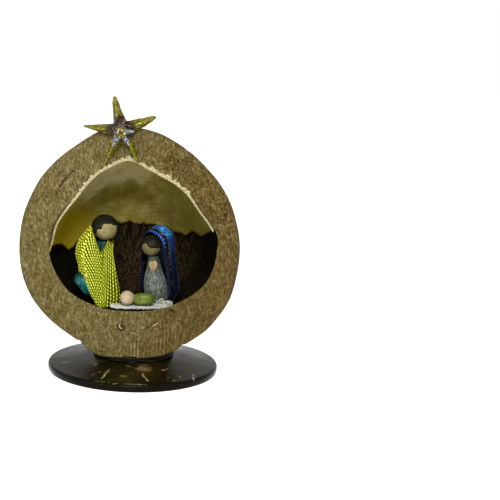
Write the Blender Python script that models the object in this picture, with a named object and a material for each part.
"""A nativity scene set in a nut that was cut open.

The nut is a thick woody husk with a flat sawn face, lined with a dark fibre layer and, above a
wavy line, with a cream inner shell. It stands on a turned ring on a domed disc of polished
shell. Two figures with ribbon wraps and a baby on a lace mat are glued inside, and a glass star
leans on the top of the face.

Metres, +Z up. The sawn face looks along -Y, and the origin is on the floor under the nut.
"""

import math

import bmesh
import bpy
import numpy as np
from mathutils import Vector

mm = 0.001

# Clearances
SEAT_GAP = 0.3 * mm
LAYER_GAP = 0.2 * mm

# Base disc, a cap sawn from a round shell
DISC_DIAMETER = 55 * mm
DISC_X = 1.1 * mm
DISC_CURVATURE = 100 * mm
DISC_EDGE_HEIGHT = 2.1 * mm
DISC_WALL = 3.0 * mm
DISC_EDGE_ROUND = 0.9 * mm

# Ring that carries the nut
RING_DIAMETER = 26.4 * mm
RING_WALL = 2.8 * mm
RING_HEIGHT = 8 * mm
RING_ROUND = 0.5 * mm

# Nut husk. The saw cut runs behind the whole nut's widest section, so the face is the largest one
FACE_Y = -13 * mm
NUT_WIDTH = 68.8 * mm
NUT_HEIGHT = 72.9 * mm
NUT_LIFT = 1.35 * mm
NUT_BACK_DEPTH = 40.0 * mm
NUT_CUT_OFFSET = 4.6 * mm
NUT_EDGE_ROUND = 0.4 * mm
NUT_OUTLINE = (
    (-0.107, 1.0), (0.063, 0.985), (0.215, 0.957), (0.351, 0.897), (0.553, 0.772), (0.764, 0.58),
    (0.9, 0.382), (0.988, 0.111), (1.0, -0.097), (0.97, -0.308), (0.93, -0.451), (0.841, -0.597),
    (0.715, -0.745), (0.529, -0.875), (0.439, -0.934), (0.33, -0.969), (0.092, -0.999),
    (-0.148, -1.0), (-0.25, -0.994), (-0.324, -0.964), (-0.455, -0.877), (-0.661, -0.745),
    (-0.811, -0.61), (-0.943, -0.406), (-1.0, -0.163), (-0.998, 0.01), (-0.964, 0.219),
    (-0.834, 0.5), (-0.642, 0.713), (-0.336, 0.93), (-0.23, 0.975),
)

# Opening in the sawn face, pointed like a tent above and half round below
OPENING_WIDTH = 51.8 * mm
OPENING_HEIGHT = 47.7 * mm
OPENING_X = 1.35 * mm
SILL_HEIGHT = 15.05 * mm
OPENING_OUTLINE = (
    (-0.083, 1.0), (0.106, 0.908), (0.241, 0.836), (0.419, 0.744), (0.608, 0.597),
    (0.778, 0.358), (0.936, 0.132), (0.998, -0.17), (0.905, -0.535), (0.697, -0.774),
    (0.4, -0.937), (0.222, -0.975), (-0.021, -0.996), (-0.288, -1.0), (-0.473, -0.95),
    (-0.755, -0.803), (-0.967, -0.484), (-0.994, -0.245), (-0.932, 0.115), (-0.701, 0.476),
    (-0.55, 0.698), (-0.411, 0.832), (-0.237, 0.937),
)

# Hollow behind the opening, and the layers of its wall
CAVITY_DEPTH = 31.0 * mm
CAVITY_BULGE_DEPTH = 4.0 * mm
CAVITY_BULGE = 1.5 * mm
CAVITY_SQUARENESS = 2.35
CAVITY_FLOOR_SPREAD = 0.14
LIP_DEPTH = 0.6 * mm
LIP_STEP = 0.1 * mm
LIP_BLEND = 4 * mm
FLOOR_DROP = 0.3 * mm
CREAM_WALL = 1.1 * mm
CREAM_INSET = 0.6 * mm
FIBRE_WALL = 1.0 * mm
# The cream shell's lower edge: across, and up from the sill
CREAM_EDGE = (
    (-30.0, 19.2), (-24.8, 18.9), (-20.6, 16.6), (-14.0, 19.6), (-7.0, 22.7), (-3.7, 23.3),
    (1.7, 22.2), (3.7, 23.0), (9.0, 21.6), (12.8, 20.8), (14.2, 19.9), (18.1, 21.4),
    (21.5, 21.0), (24.4, 23.1), (26.0, 27.0), (30.0, 28.0),
)
CREAM_RIPPLE = 0.35 * mm
CREAM_RIPPLE_PITCH = 4.3 * mm

# Star: one entry for each glass arm, its angle in the face's plane and its length
STAR_ARMS = ((29, 10.9), (104, 10.9), (175, 11.5), (244, 11.2), (308, 10.5))
STAR_X = -3.5 * mm
STAR_DROP = 1.85 * mm
STAR_NOTCH = 3.4 * mm
STAR_TIP_RADIUS = 0.55 * mm
STAR_THICKNESS = 2.6 * mm
STAR_EDGE = 0.8 * mm
STAR_FLAT = 0.36
STAR_BACK_SIZE = 0.95
STAR_SIDE = 0.6
STAR_SIZES = (0.97, 0.85, 0.65, 0.5)
STAR_RIDGE_POWER = 1.6
SMALL_STAR_ARMS = ((5, 4.3), (77, 4.0), (149, 4.2), (242, 5.4), (305, 5.0))
SMALL_STAR_NOTCH = 1.7 * mm
SMALL_STAR_TIP_RADIUS = 0.35 * mm
SMALL_STAR_THICKNESS = 0.9 * mm
SMALL_STAR_FLAT = 0.45
STAR_BEAD_DIAMETER = 3.0 * mm
STAR_BEAD_WIRE = 0.95 * mm

# Bead heads: a nose, its spread in radians, and shares of the diameter for the hair cap's edges
NOSE_SPREAD = 0.2
NOSE_HEIGHT = 0.045
HAIR_TURN = (6, -16)
HAIR_OPENING_PLACE = 0.62
HAIR_OPENING_RADIUS = 0.46
NAPE = 0.27

# Father: turned body that leans, bead head, painted hair cap and ribbon cloak
FATHER_BASE = (-12.4 * mm, -3.2 * mm)
FATHER_NECK = (-9.2 * mm, -5.2 * mm)
FATHER_HEIGHT = 20.4 * mm
FATHER_PROFILE = ((0.0, 4.8), (2.2, 5.9), (6.5, 6.6), (9.5, 5.8), (12.5, 4.6), (16.0, 3.4), (20.4, 2.3))
FATHER_HEAD_DIAMETER = 7.6 * mm
FATHER_LOOK = (24.0, -7.0)
FATHER_HAIR_WALL = 0.45 * mm
CLOAK_CLOTH = 0.6 * mm
CLOAK_FOLD = 0.22 * mm
CLOAK_FOLDS = 7
# Cloak: height over the floor, left side, right side, half depth, middle's y
CLOAK_SECTIONS = (
    (0.0, -18.2, -3.3, 7.4, -3.6),
    (3.5, -18.9, -3.2, 7.9, -3.5),
    (7.5, -18.8, -3.9, 8.0, -3.6),
    (11.5, -17.9, -4.6, 7.1, -4.0),
    (15.5, -18.1, -5.3, 6.2, -4.6),
    (18.7, -17.9, -5.6, 5.7, -4.8),
    (21.5, -16.8, -4.6, 5.5, -5.0),
    (24.0, -15.0, -4.0, 5.2, -5.0),
    (26.0, -13.6, -3.8, 4.9, -5.0),
)
CLOAK_NECK_APEX = (-9.4 * mm, 17.5 * mm)
CLOAK_NECK_HALF = 5.2 * mm
CLOAK_NECK_HEIGHT = 9 * mm
CLOAK_HEM = ((-16.6, 10.1), (-11.6, -0.6))
CLOAK_COLLAR = ((-13.2, 25.4), (-6.0, 20.6))

# Mother: turned body, bead head, hair cap, folded hands and ribbon veil
MOTHER_BASE = (8.4 * mm, -0.8 * mm)
MOTHER_NECK = (6.6 * mm, -2.2 * mm)
MOTHER_HEIGHT = 15.7 * mm
MOTHER_PROFILE = ((0.0, 3.0), (1.5, 3.45), (4.0, 3.5), (7.5, 3.0), (11.0, 2.3), (15.7, 1.5))
MOTHER_HEAD_DIAMETER = 6.0 * mm
MOTHER_HEAD_LEAN = (-0.8 * mm, -0.5 * mm)
MOTHER_LOOK = (-14.0, -11.0)
MOTHER_HAIR_WALL = 0.4 * mm
HANDS_WIDTH = 3.0 * mm
HANDS_DEPTH = 1.7 * mm
HANDS_LENGTH = 4.5 * mm
HANDS_RISE = 11.0 * mm
HANDS_SHIFT = 0.3 * mm
HANDS_PROFILE = ((0.0, 0.0), (0.12, 0.34), (0.4, 0.72), (0.68, 1.0), (0.88, 0.78), (1.0, 0.0))
VEIL_CLOTH = 0.6 * mm
VEIL_FOLD = 0.18 * mm
VEIL_FOLDS = 8
# Veil: height over the floor, left side, right side, half depth, middle's y
VEIL_SECTIONS = (
    (0.0, 3.6, 14.8, 5.0, 0.3),
    (4.5, 3.5, 15.4, 5.2, 0.3),
    (9.5, 3.2, 14.8, 5.0, 0.3),
    (14.0, 2.4, 13.8, 4.9, 0.2),
    (17.5, 1.2, 13.5, 4.8, 0.0),
    (20.5, 1.3, 13.1, 4.6, 0.0),
    (23.0, 3.0, 12.6, 4.1, 0.0),
    (25.0, 5.6, 11.4, 2.9, 0.2),
    (26.0, 8.2, 8.8, 0.4, 0.3),
)
# Edge of the veil's front opening, from the floor up one side and down the other
VEIL_OPENING = (
    (3.4, -3.0), (3.0, 8.0), (2.4, 14.0), (1.9, 17.0), (1.9, 20.0), (3.4, 23.4), (5.6, 24.0),
    (7.7, 22.9), (9.3, 20.8), (9.7, 18.0), (10.1, 14.5), (11.0, 10.5), (11.8, 5.0), (12.2, -3.0),
)
VEIL_OPENING_Y = 0.8 * mm
# How much lower the veil's inner side runs than its outer side, for each section
VEIL_INSIDE_DROP = (1, 0, 0, 0, 0, 0, 0.4, 0.6, 0.6)

# Baby on its mat
MAT_CENTRE = (3.3 * mm, -8.9 * mm)
MAT_LENGTH = 18.4 * mm
MAT_WIDTH = 5.6 * mm
MAT_THICKNESS = 0.6 * mm
MAT_TURN = 12.0
MAT_SCALLOPS = 13
MAT_SCALLOP = 0.45 * mm
MAT_ROUNDING = 0.7
BABY_HEAD_DIAMETER = 4.6 * mm
BABY_HEAD_PLACE = (-0.6 * mm, -9.5 * mm)
BABY_BODY_LENGTH = 6.4 * mm
BABY_BODY_DIAMETER = 3.7 * mm
BABY_BODY_ROUNDING = (3.2, 2.4)
BABY_TURN = 9.0
BABY_LOOK = (8.0, 40.0)

# How far a cutter runs past what it cuts, and how far round a wrap its folds shift with height
REACH = 20 * mm
PAST = 1 * mm
FOLD_SHIFT_PITCH = 6 * mm

# Fineness of the curves
AROUND_NUT = 48
AROUND_BASE = 48
AROUND_BODY = 24
AROUND_WRAP = 32
AROUND_BEAD = 20
AROUND_SMALL = 16
BACK_RINGS = 8
CURVE_STEPS = 24

# Places that follow from the sizes above
ANGLES = np.arange(AROUND_NUT) * 2 * math.pi / AROUND_NUT


def sagitta(radius):
    return DISC_CURVATURE - math.sqrt(DISC_CURVATURE**2 - radius**2)


def disc_top(radius):
    """Height of the disc's upper side at this distance from its middle."""
    return DISC_EDGE_HEIGHT + sagitta(DISC_DIAMETER / 2) - sagitta(radius)


NUT_BOTTOM = disc_top(0) + NUT_LIFT
NUT_MIDDLE = NUT_BOTTOM + NUT_HEIGHT / 2
SILL = NUT_BOTTOM + SILL_HEIGHT
OPENING_MIDDLE = SILL + OPENING_HEIGHT / 2
FLOOR = SILL - FLOOR_DROP
STAND = FLOOR + SEAT_GAP


def material(name, colour, roughness, metallic=0.0):
    made = bpy.data.materials.new(name)
    made.use_nodes = True
    shader = made.node_tree.nodes["Principled BSDF"]
    shader.inputs["Base Color"].default_value = (*colour, 1.0)
    shader.inputs["Roughness"].default_value = roughness
    shader.inputs["Metallic"].default_value = metallic
    made.diffuse_color = (*colour, 1.0)
    return made


def add(name, mesh, look=None):
    """Puts the mesh in the scene as an object, or as a cutter where it has no look."""
    obj = bpy.data.objects.new(name, mesh)
    bpy.context.scene.collection.objects.link(obj)
    if look:
        mesh.materials.append(look)
    else:
        obj.hide_render = True
        obj.display_type = "WIRE"
    return obj


def loft(name, rings, sharp=40, endless=False):
    """A closed mesh through rings of equally many points.

    An end ring of one point is a pole, and a longer one is capped, or joins the first if endless.
    Each patch is split from its front ring to the next point of its back ring, so nested layers
    stay parallel whichever way their rings run.
    """
    shape = bmesh.new()
    made = [[shape.verts.new(point) for point in ring] for ring in rings]
    for first, second in zip(made, [*made[1:], *made[: int(endless)]]):
        count = max(len(first), len(second))
        for i in range(count):
            j = (i + 1) % count
            if len(first) == 1:
                shape.faces.new((first[0], second[i], second[j]))
            elif len(second) == 1:
                shape.faces.new((first[j], first[i], second[0]))
            elif first[0].co.y < second[0].co.y:
                shape.faces.new((first[i], second[i], second[j]))
                shape.faces.new((first[i], second[j], first[j]))
            else:
                shape.faces.new((second[i], first[j], first[i]))
                shape.faces.new((second[i], second[j], first[j]))
    for ring in () if endless else (made[0], made[-1]):
        if len(ring) > 1:
            shape.faces.new(ring)
    bmesh.ops.recalc_face_normals(shape, faces=shape.faces)
    mesh = bpy.data.meshes.new(name)
    shape.to_mesh(mesh)
    shape.free()
    mesh.shade_smooth()
    mesh.set_sharp_from_angle(angle=math.radians(sharp))
    return mesh


def carve(target, cutter):
    """Takes the cutter's shape out of the target."""
    cut = target.modifiers.new(cutter.name, "BOOLEAN")
    cut.operation = "DIFFERENCE"
    cut.solver = "EXACT"
    cut.object = cutter


def prism(name, outline, y_near, y_far):
    """A cutter: an outline of points across and up, drawn out along Y."""
    rings = [[(x, y, z) for x, z in outline] for y in (y_near, y_far)]
    return add(name, loft(name, rings))


def smooth_rows(rows, count):
    """Rows of numbers on the smooth curve through these ones."""
    p = np.array(rows, float)
    p = np.vstack([2 * p[0] - p[1], p, 2 * p[-1] - p[-2]])
    place = np.linspace(0, len(rows) - 1, count)
    i = np.minimum(place.astype(int), len(rows) - 2)
    t = (place - i)[:, None]
    a, b, c, d = p[i], p[i + 1], p[i + 2], p[i + 3]
    square = 2 * a - 5 * b + 4 * c - d
    cube = 3 * b - a - 3 * c + d
    return 0.5 * (2 * b + (c - a) * t + square * t**2 + cube * t**3)


def polar_shape(points):
    """Distance from the middle, at each of ANGLES, of the smooth closed curve through the points."""
    closed = [*points[-2:], *points, *points[:3]]
    curve = smooth_rows(closed, CURVE_STEPS * len(closed))
    angle = np.arctan2(curve[:, 1], curve[:, 0])
    order = np.argsort(angle)
    return np.interp(ANGLES, angle[order], np.hypot(*curve[order].T), period=2 * math.pi)


NUT_SHAPE = polar_shape(NUT_OUTLINE)
OPENING_SHAPE = polar_shape(OPENING_OUTLINE)


def circle(radius, centre, height, count=AROUND_BODY, depth=None):
    """A level ring of points, round or, with its own depth, oval."""
    if radius == 0:
        return [(centre[0], centre[1], height)]
    turns = [i * 2 * math.pi / count for i in range(count)]
    across, along = radius, depth or radius
    x, y = centre[:2]
    return [(x + across * math.cos(t), y + along * math.sin(t), height) for t in turns]


def turned(profile, centre, count=AROUND_BODY):
    """Rings of a turned piece from its (radius, height) profile."""
    return [circle(radius, centre, height, count) for radius, height in profile]


def quarter(centre, radius, start, steps=4):
    """Points on a quarter circle in a profile, from this angle in degrees downwards."""
    angles = [math.radians(start - 90 * i / steps) for i in range(steps + 1)]
    return [(centre[0] + radius * math.cos(a), centre[1] + radius * math.sin(a)) for a in angles]


def ball(radius, centre, count=AROUND_BEAD, rings=12):
    """Rings of a round bead."""
    turns = [math.pi * i / rings for i in range(rings + 1)]
    made = []
    for t in turns:
        ring_radius = 0 if t in (turns[0], turns[-1]) else radius * math.sin(t)
        made.append(circle(ring_radius, centre, centre[2] + radius * math.cos(t), count))
    return made


def base_disc():
    radius = DISC_DIAMETER / 2
    hollow_rise = sagitta(radius) + DISC_EDGE_HEIGHT - DISC_WALL
    inner = math.sqrt(DISC_CURVATURE**2 - (DISC_CURVATURE - hollow_rise) ** 2)
    shoulder = radius - DISC_EDGE_ROUND
    profile = [(shoulder * i / 6, disc_top(shoulder * i / 6)) for i in range(7)]
    crest = (shoulder, disc_top(shoulder) - DISC_EDGE_ROUND)
    profile += quarter(crest, DISC_EDGE_ROUND, 90)[1:]
    profile += [(radius - DISC_EDGE_ROUND / 3, 0.0), (inner, 0.0)]
    profile += [(inner * i / 4, disc_top(inner * i / 4) - DISC_WALL) for i in range(3, -1, -1)]
    rings = turned(profile, (DISC_X, 0), count=AROUND_BASE)
    look = material("polished shell", (0.06, 0.035, 0.015), 0.18)
    return add("base_disc", loft("base_disc", rings), look)


def nut_rings(grow=0.0):
    """Rings of the nut's outer skin, from its back to the saw cut."""
    half_x, half_z = NUT_WIDTH / 2 + grow, NUT_HEIGHT / 2 + grow
    depth = NUT_BACK_DEPTH + NUT_CUT_OFFSET + grow
    cut = math.asin(NUT_CUT_OFFSET / depth)
    places = []
    for angle in np.linspace(math.pi / 2, cut, BACK_RINGS + 1)[1:]:
        size = math.cos(angle) / math.cos(cut)
        places.append((FACE_Y + depth * math.sin(angle) - NUT_CUT_OFFSET, size))
    places[-1] = (FACE_Y + NUT_EDGE_ROUND, 1.0)
    places.append((FACE_Y, 1 - NUT_EDGE_ROUND / half_x))
    rings = [[(0.0, FACE_Y + NUT_BACK_DEPTH + grow, NUT_MIDDLE)]]
    for y, size in places:
        x = NUT_SHAPE * np.cos(ANGLES) * half_x * size
        z = NUT_MIDDLE + NUT_SHAPE * np.sin(ANGLES) * half_z * size
        rings.append([(a, y, b) for a, b in zip(x, z)])
    return rings


def cavity_ring(y, size, grow, floor):
    """One ring of the hollow. The layers of its wall are the same ring grown by their depth.

    The hollow's lower half swells behind the lip, which gives it a wide floor.
    """
    swell = CAVITY_FLOOR_SPREAD * min((y - FACE_Y) / CAVITY_BULGE_DEPTH, 1.0)
    shape = OPENING_SHAPE * (1 + swell * np.maximum(-np.sin(ANGLES), 0))
    x = OPENING_X + shape * np.cos(ANGLES) * (OPENING_WIDTH / 2 + grow) * size
    z = OPENING_MIDDLE + shape * np.sin(ANGLES) * (OPENING_HEIGHT / 2 + grow) * size
    return [(a, y, max(b, floor)) for a, b in zip(x, z)]


def cavity_rings(grow, floor, front):
    """Rings of the hollow from the front back to its end, with a flat floor."""
    bulge = 1 + CAVITY_BULGE / (OPENING_WIDTH / 2)
    lip_back = FACE_Y + LIP_DEPTH
    widest = FACE_Y + CAVITY_BULGE_DEPTH
    stations = np.linspace(lip_back, widest, 5)[:-1]
    rings = []
    for y in (front, *stations[stations > front]):
        lag = (widest - max(y, lip_back)) / (widest - lip_back)
        rings.append(cavity_ring(y, 1 + (bulge - 1) * (1 - lag**2), grow, floor))
    depth = CAVITY_DEPTH - CAVITY_BULGE_DEPTH + grow
    power = 2 / CAVITY_SQUARENESS
    for angle in np.radians(np.linspace(0, 90, BACK_RINGS + 1)[:-1]):
        y = widest + depth * math.sin(angle) ** power
        rings.append(cavity_ring(y, bulge * math.cos(angle) ** power, grow, floor))
    return rings + [[(OPENING_X, widest + depth, OPENING_MIDDLE)]]


def cream_edge(x):
    """Height of the cream shell's lower edge."""
    rows = smooth_rows(CREAM_EDGE, CURVE_STEPS * len(CREAM_EDGE)) * mm
    ripple = CREAM_RIPPLE * math.sin(2 * math.pi * x / CREAM_RIPPLE_PITCH)
    return SILL + np.interp(x, rows[:, 0], rows[:, 1]) + ripple


FIBRE_INSIDE = CREAM_WALL - CREAM_INSET + LAYER_GAP
FIBRE_OUTSIDE = FIBRE_INSIDE + FIBRE_WALL
HUSK_INSIDE = FIBRE_OUTSIDE + LAYER_GAP


def nut_husk():
    """The husk in one loft: its skin, the sawn face, a thin lip and the hollow behind it."""
    seat = CREAM_WALL - CREAM_INSET + LAYER_GAP
    lip = []
    for (x, y, z), (x_seat, _, z_seat) in zip(
        cavity_ring(FACE_Y, 1, 0, SILL), cavity_ring(FACE_Y, 1, seat, SILL)
    ):
        beside_cream = z > cream_edge(x) - LIP_BLEND
        lip.append((x_seat, y, z_seat) if beside_cream else (x, y, z))
    back_of_lip = [(x, y + LIP_DEPTH - LIP_STEP, z) for x, y, z in lip]
    floor = FLOOR - FIBRE_WALL - 2 * LAYER_GAP
    inside = cavity_rings(HUSK_INSIDE, floor, FACE_Y + LIP_DEPTH)
    look = material("woody husk", (0.36, 0.29, 0.17), 0.85)
    return add("nut_husk", loft("nut_husk", [*nut_rings(), lip, back_of_lip, *inside], sharp=50), look)


def fibre_layer():
    front = FACE_Y + LIP_DEPTH + LAYER_GAP
    outside = cavity_rings(FIBRE_OUTSIDE, FLOOR - FIBRE_WALL, front)
    inside = cavity_rings(FIBRE_INSIDE, FLOOR, front)
    look = material("dark fibre", (0.045, 0.028, 0.016), 0.9)
    return add("fibre_layer", loft("fibre_layer", [*reversed(outside), *inside], sharp=50), look)


def cream_shell():
    below = FLOOR - FIBRE_WALL
    outside = cavity_rings(CREAM_WALL - CREAM_INSET, below, FACE_Y)
    inside = cavity_rings(-CREAM_INSET, below, FACE_Y)
    look = material("cream shell", (0.62, 0.53, 0.30), 0.5)
    shell = add("cream_shell", loft("cream_shell", [*reversed(outside), *inside], sharp=50), look)
    reach = NUT_WIDTH / 2
    edge = [(x, cream_edge(x)) for x in np.linspace(-reach, reach, 73)]
    outline = [(-reach, 0.0), *edge, (reach, 0.0)]
    carve(shell, prism("cream_cut", outline, 2 * FACE_Y, FACE_Y + NUT_BACK_DEPTH))
    return shell


def support_ring():
    outer = RING_DIAMETER / 2
    inner = outer - RING_WALL
    bottom_out, bottom_in = disc_top(outer) + SEAT_GAP, disc_top(inner) + SEAT_GAP
    top = bottom_out + RING_HEIGHT
    profile = [(inner, bottom_in), (inner, top)]
    profile += quarter((outer - RING_ROUND, top - RING_ROUND), RING_ROUND, 90)
    profile += [(outer, bottom_out + RING_ROUND / 2), (outer - RING_ROUND / 2, bottom_out)]
    look = material("dark gloss", (0.02, 0.014, 0.01), 0.2)
    mesh = loft("support_ring", turned(profile, (DISC_X, 0), count=AROUND_BASE), endless=True)
    ring = add("support_ring", mesh, look)
    seat = nut_rings(SEAT_GAP)
    seat.append([(x, -RING_DIAMETER, z) for x, _, z in seat[-1]])
    carve(ring, add("nut_seat", loft("nut_seat", seat)))
    return ring


def star_outline(arms, notch, tip_radius, centre):
    """Points round a star whose arms end in round tips: three on each tip and one in each notch."""
    points = []
    for (angle, length), (after, _) in zip(arms, [*arms[1:], (arms[0][0] + 360, 0)]):
        tip = length * mm - tip_radius
        middle = Vector((math.cos(math.radians(angle)), math.sin(math.radians(angle)))) * tip
        for turn in (-80, -40, 0, 40, 80):
            a = math.radians(angle + turn)
            points.append(middle + Vector((math.cos(a), math.sin(a))) * tip_radius)
        a = math.radians((angle + after) / 2)
        points.append(Vector((math.cos(a), math.sin(a))) * notch)
    return [(centre[0] + x, centre[1] + z) for x, z in points]


def star(name, arms, notch, tip_radius, thickness, edge, flat, centre, back, look):
    """A star with a flat back, a raised ridge along each arm and a flat middle in front."""
    outline = star_outline(arms, notch, tip_radius, centre)
    steps = [size for size in STAR_SIZES if size > flat]

    def ring(size, y):
        places = [(x - centre[0], z - centre[1]) for x, z in outline]
        return [(centre[0] + a * size, y, centre[1] + b * size) for a, b in places]

    front = [(1.0, edge * STAR_SIDE)]
    for size in (*steps, flat):
        slope = ((size - flat) / (1 - flat)) ** STAR_RIDGE_POWER
        front.append((size, edge + (thickness - edge) * (1 - slope)))
    rings = [ring(STAR_BACK_SIZE, back)] + [ring(size, back - height) for size, height in front]
    return add(name, loft(name, rings, sharp=60), look)


def stars():
    centre = (STAR_X, NUT_MIDDLE + NUT_HEIGHT / 2 - STAR_DROP)
    back = FACE_Y - SEAT_GAP
    gold = material("gold glass", (0.42, 0.36, 0.06), 0.15)
    big = (STAR_ARMS, STAR_NOTCH, STAR_TIP_RADIUS, STAR_THICKNESS, STAR_EDGE, STAR_FLAT)
    star("star_gold", *big, centre, back, gold)
    back -= STAR_THICKNESS + SEAT_GAP
    white = material("white enamel", (0.75, 0.75, 0.76), 0.35)
    small = (SMALL_STAR_ARMS, SMALL_STAR_NOTCH, SMALL_STAR_TIP_RADIUS, SMALL_STAR_THICKNESS)
    star("star_white", *small, SMALL_STAR_THICKNESS / 2, SMALL_STAR_FLAT, centre, back, white)
    back -= SMALL_STAR_THICKNESS + SEAT_GAP
    wire = STAR_BEAD_WIRE / 2
    middle = STAR_BEAD_DIAMETER / 2 - wire
    spots = [i * 2 * math.pi / AROUND_BEAD for i in range(AROUND_BEAD)]
    x, z = centre
    rings = []
    for turn in np.radians(np.arange(0, 360, 45)):
        reach = middle + wire * math.cos(turn)
        y = back - wire + wire * math.sin(turn)
        rings.append([(x + reach * math.cos(a), y, z + reach * math.sin(a)) for a in spots])
    gilt = material("gilt bead", (0.6, 0.42, 0.1), 0.3, 0.8)
    add("star_bead", loft("star_bead", rings, sharp=80, endless=True), gilt)


def leaning_body(profile, base, neck, height):
    """Rings of a turned body whose middle shifts from its base to its neck."""
    rings = []
    for rise, radius in smooth_rows(profile, 11) * mm:
        share = rise / height
        middle = [a + (b - a) * share for a, b in zip(base, neck)]
        rings.append(circle(radius, middle, STAND + rise))
    return rings


def look_direction(turn, tilt):
    """Unit vector of a face: turned from -Y towards +X, and tilted up, in degrees."""
    a, b = math.radians(turn), math.radians(tilt)
    return Vector((math.sin(a) * math.cos(b), -math.cos(a) * math.cos(b), math.sin(b)))


def head(name, diameter, centre, look_at, look):
    """A round bead with a small nose in the middle of the face."""
    radius = diameter / 2
    face = look_direction(*look_at)
    rings = []
    for ring in ball(radius, centre):
        made = []
        for point in ring:
            out = (Vector(point) - Vector(centre)).normalized()
            nose = math.exp(-((out.angle(face) / NOSE_SPREAD) ** 2))
            made.append(tuple(Vector(centre) + out * radius * (1 + NOSE_HEIGHT * nose)))
        rings.append(made)
    return add(name, loft(name, rings, sharp=80), look)


def hair(name, diameter, wall, centre, look_at, look):
    """A thin cap over the top, the sides and the back of a bead head, open round the face."""
    inner = diameter / 2 + LAYER_GAP
    cap = add(name, loft(name, ball(inner + wall, centre), sharp=80), look)
    carve(cap, add(name + "_inside", loft(name + "_inside", ball(inner, centre))))
    face = look_direction(look_at[0] + HAIR_TURN[0], look_at[1] + HAIR_TURN[1])
    opening = Vector(centre) + face * diameter * HAIR_OPENING_PLACE
    carve(cap, add(name + "_face", loft(name + "_face", ball(diameter * HAIR_OPENING_RADIUS, opening))))
    nape = centre[2] - diameter * NAPE
    corners = ((-1, 0), (1, 0), (1, 1), (-1, 1))
    low = [(centre[0] + a * diameter, nape - b * diameter) for a, b in corners]
    carve(cap, prism(name + "_nape", low, centre[1] - diameter, centre[1] + diameter))
    return cap


def wrap_rings(sections, folds, fold, inset=0, past=0):
    """Rings of a wrap's outer side or, when inset, of its inner side, its ends moved out by past."""
    rows = smooth_rows(sections, 11) * mm
    rings = []
    for rise, left, right, half_depth, middle_y in rows:
        half = (right - left) / 2
        ring = []
        for i in range(AROUND_WRAP):
            t = i * 2 * math.pi / AROUND_WRAP
            wave = fold * math.cos(folds * t + rise / FOLD_SHIFT_PITCH)
            x = (left + right) / 2 + (half - inset + wave) * math.cos(t)
            y = middle_y + (half_depth - inset + wave) * math.sin(t)
            ring.append((x, y, STAND + rise))
        rings.append(ring)
    rings[0] = [(x, y, z - past) for x, y, z in rings[0]]
    rings[-1] = [(x, y, z + past) for x, y, z in rings[-1]]
    return rings


def father():
    neck_top = STAND + FATHER_HEIGHT
    head_centre = (FATHER_NECK[0], FATHER_NECK[1], neck_top + SEAT_GAP + FATHER_HEAD_DIAMETER / 2)
    teal = material("teal enamel", (0.02, 0.25, 0.30), 0.25)
    rings = leaning_body(FATHER_PROFILE, FATHER_BASE, FATHER_NECK, FATHER_HEIGHT)
    add("father_robe", loft("father_robe", rings), teal)
    skin = material("bead skin", (0.62, 0.48, 0.33), 0.45)
    head("father_head", FATHER_HEAD_DIAMETER, head_centre, FATHER_LOOK, skin)
    black = material("black paint", (0.02, 0.018, 0.016), 0.4)
    hair("father_hair", FATHER_HEAD_DIAMETER, FATHER_HAIR_WALL, head_centre, FATHER_LOOK, black)

    lime = material("lime ribbon", (0.55, 0.62, 0.05), 0.45)
    outer = wrap_rings(CLOAK_SECTIONS, CLOAK_FOLDS, CLOAK_FOLD)
    cloak = add("father_cloak", loft("father_cloak", outer, sharp=60), lime)
    inner = wrap_rings(CLOAK_SECTIONS, CLOAK_FOLDS, CLOAK_FOLD, CLOAK_CLOTH, PAST)
    carve(cloak, add("cloak_inside", loft("cloak_inside", inner)))
    room = FATHER_HEAD_DIAMETER / 2 + LAYER_GAP + FATHER_HAIR_WALL + SEAT_GAP
    carve(cloak, add("cloak_head_room", loft("cloak_head_room", ball(room, head_centre))))
    x, rise = CLOAK_NECK_APEX
    wide = CLOAK_NECK_HALF
    apex = STAND + rise
    vee = [(x, apex), (x + wide, apex + CLOAK_NECK_HEIGHT), (x - wide, apex + CLOAK_NECK_HEIGHT)]
    carve(cloak, prism("cloak_neck", vee, -REACH, FATHER_NECK[1]))
    (x1, z1), (x2, z2) = [(a * mm, STAND + b * mm) for a, b in CLOAK_HEM]
    hem = [(x1, z1), (x2, z2), (x2 - REACH, z2), (x1 - REACH, z1)]
    carve(cloak, prism("cloak_hem", hem, -REACH, REACH))
    (x1, z1), (x2, z2) = [(a * mm, STAND + b * mm) for a, b in CLOAK_COLLAR]
    slope = (z2 - z1) / (x2 - x1)
    ends = [(x, z1 + (x - x1) * slope) for x in (x1 - REACH, x2 + REACH)]
    collar = [*ends, *[(x, z + 2 * REACH) for x, z in reversed(ends)]]
    carve(cloak, prism("cloak_collar", collar, -REACH, REACH))


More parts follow.
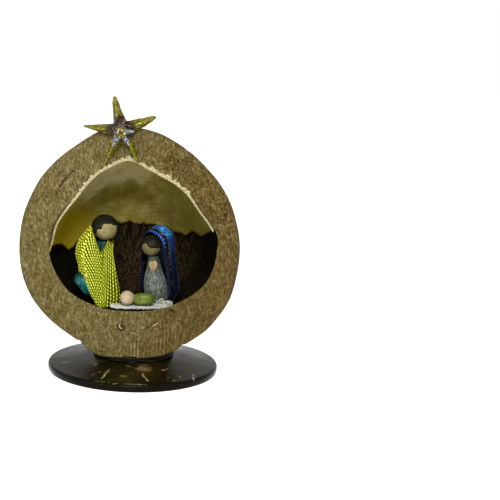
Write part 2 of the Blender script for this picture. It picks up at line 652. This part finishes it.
def mother():
    neck_top = STAND + MOTHER_HEIGHT
    head_centre = (
        MOTHER_NECK[0] + MOTHER_HEAD_LEAN[0],
        MOTHER_NECK[1] + MOTHER_HEAD_LEAN[1],
        neck_top + SEAT_GAP + MOTHER_HEAD_DIAMETER / 2,
    )
    pearl = material("pearl enamel", (0.42, 0.48, 0.5), 0.3)
    rings = leaning_body(MOTHER_PROFILE, MOTHER_BASE, MOTHER_NECK, MOTHER_HEIGHT)
    add("mother_robe", loft("mother_robe", rings), pearl)
    head("mother_head", MOTHER_HEAD_DIAMETER, head_centre, MOTHER_LOOK, bpy.data.materials["bead skin"])
    black = bpy.data.materials["black paint"]
    hair("mother_hair", MOTHER_HEAD_DIAMETER, MOTHER_HAIR_WALL, head_centre, MOTHER_LOOK, black)

    share = (HANDS_RISE + HANDS_LENGTH / 2) / MOTHER_HEIGHT
    robe_radius = np.interp(HANDS_RISE / mm, *np.array(MOTHER_PROFILE).T) * mm
    x = MOTHER_BASE[0] + (MOTHER_NECK[0] - MOTHER_BASE[0]) * share - HANDS_SHIFT
    robe_y = MOTHER_BASE[1] + (MOTHER_NECK[1] - MOTHER_BASE[1]) * share
    y = robe_y - robe_radius - SEAT_GAP - HANDS_DEPTH / 2
    rings = []
    for rise, size in smooth_rows(HANDS_PROFILE, 9):
        height = STAND + HANDS_RISE + HANDS_LENGTH * rise
        reach = 0 if rise in (0.0, 1.0) else size * HANDS_WIDTH / 2
        rings.append(circle(reach, (x, y), height, AROUND_SMALL, size * HANDS_DEPTH / 2))
    add("mother_hands", loft("mother_hands", rings, sharp=80), bpy.data.materials["bead skin"])

    blue = material("blue satin", (0.02, 0.08, 0.36), 0.3)
    outer = wrap_rings(VEIL_SECTIONS, VEIL_FOLDS, VEIL_FOLD)
    veil = add("mother_veil", loft("mother_veil", outer, sharp=60), blue)
    lowered = [(a - b, *rest) for (a, *rest), b in zip(VEIL_SECTIONS, VEIL_INSIDE_DROP)]
    inner = wrap_rings(lowered, VEIL_FOLDS, VEIL_FOLD, VEIL_CLOTH)
    carve(veil, add("veil_inside", loft("veil_inside", inner)))
    outline = [(a * mm, STAND + b * mm) for a, b in VEIL_OPENING]
    carve(veil, prism("veil_opening", outline, -REACH, VEIL_OPENING_Y))


def baby():
    turn = math.radians(MAT_TURN)
    count = 6 * MAT_SCALLOPS
    points = []
    for t in np.arange(count) * 2 * math.pi / count:
        inset = MAT_SCALLOP * (1 - abs(math.sin(MAT_SCALLOPS * t / 2)))
        along = (MAT_LENGTH / 2 - inset) * math.copysign(abs(math.cos(t)) ** MAT_ROUNDING, math.cos(t))
        across = (MAT_WIDTH / 2 - inset) * math.copysign(abs(math.sin(t)) ** MAT_ROUNDING, math.sin(t))
        x = MAT_CENTRE[0] + along * math.cos(turn) - across * math.sin(turn)
        y = MAT_CENTRE[1] + along * math.sin(turn) + across * math.cos(turn)
        points.append((x, y))
    rings = [[(x, y, STAND + rise) for x, y in points] for rise in (0, MAT_THICKNESS)]
    lace = material("white lace", (0.72, 0.72, 0.68), 0.8)
    add("lace_mat", loft("lace_mat", rings, sharp=60), lace)

    top = STAND + MAT_THICKNESS + SEAT_GAP
    head_centre = (*BABY_HEAD_PLACE, top + BABY_HEAD_DIAMETER / 2)
    pink = material("pink bead", (0.72, 0.52, 0.40), 0.4)
    head("baby_head", BABY_HEAD_DIAMETER, head_centre, BABY_LOOK, pink)
    green = material("green glass", (0.35, 0.45, 0.10), 0.15)
    turn = math.radians(BABY_TURN)
    start = BABY_HEAD_DIAMETER / 2 + SEAT_GAP
    radius = BABY_BODY_DIAMETER / 2
    rings = []
    for share in np.linspace(0, 1, 11):
        bulge = (1 - abs(2 * share - 1) ** BABY_BODY_ROUNDING[0]) ** (1 / BABY_BODY_ROUNDING[1])
        along = start + BABY_BODY_LENGTH * share
        x = BABY_HEAD_PLACE[0] + along * math.cos(turn)
        y = BABY_HEAD_PLACE[1] + along * math.sin(turn)
        if share in (0, 1):
            rings.append([(x, y, top + radius)])
            continue
        ring = []
        for i in range(AROUND_SMALL):
            t = i * 2 * math.pi / AROUND_SMALL
            out = radius * bulge * math.cos(t)
            height = top + radius * (1 + bulge * math.sin(t))
            ring.append((x - out * math.sin(turn), y + out * math.cos(turn), height))
        rings.append(ring)
    add("baby_body", loft("baby_body", rings, sharp=60), green)


def main():
    for obj in list(bpy.data.objects):
        bpy.data.objects.remove(obj, do_unlink=True)
    base_disc()
    support_ring()
    nut_husk()
    fibre_layer()
    cream_shell()
    stars()
    father()
    mother()
    baby()


main()
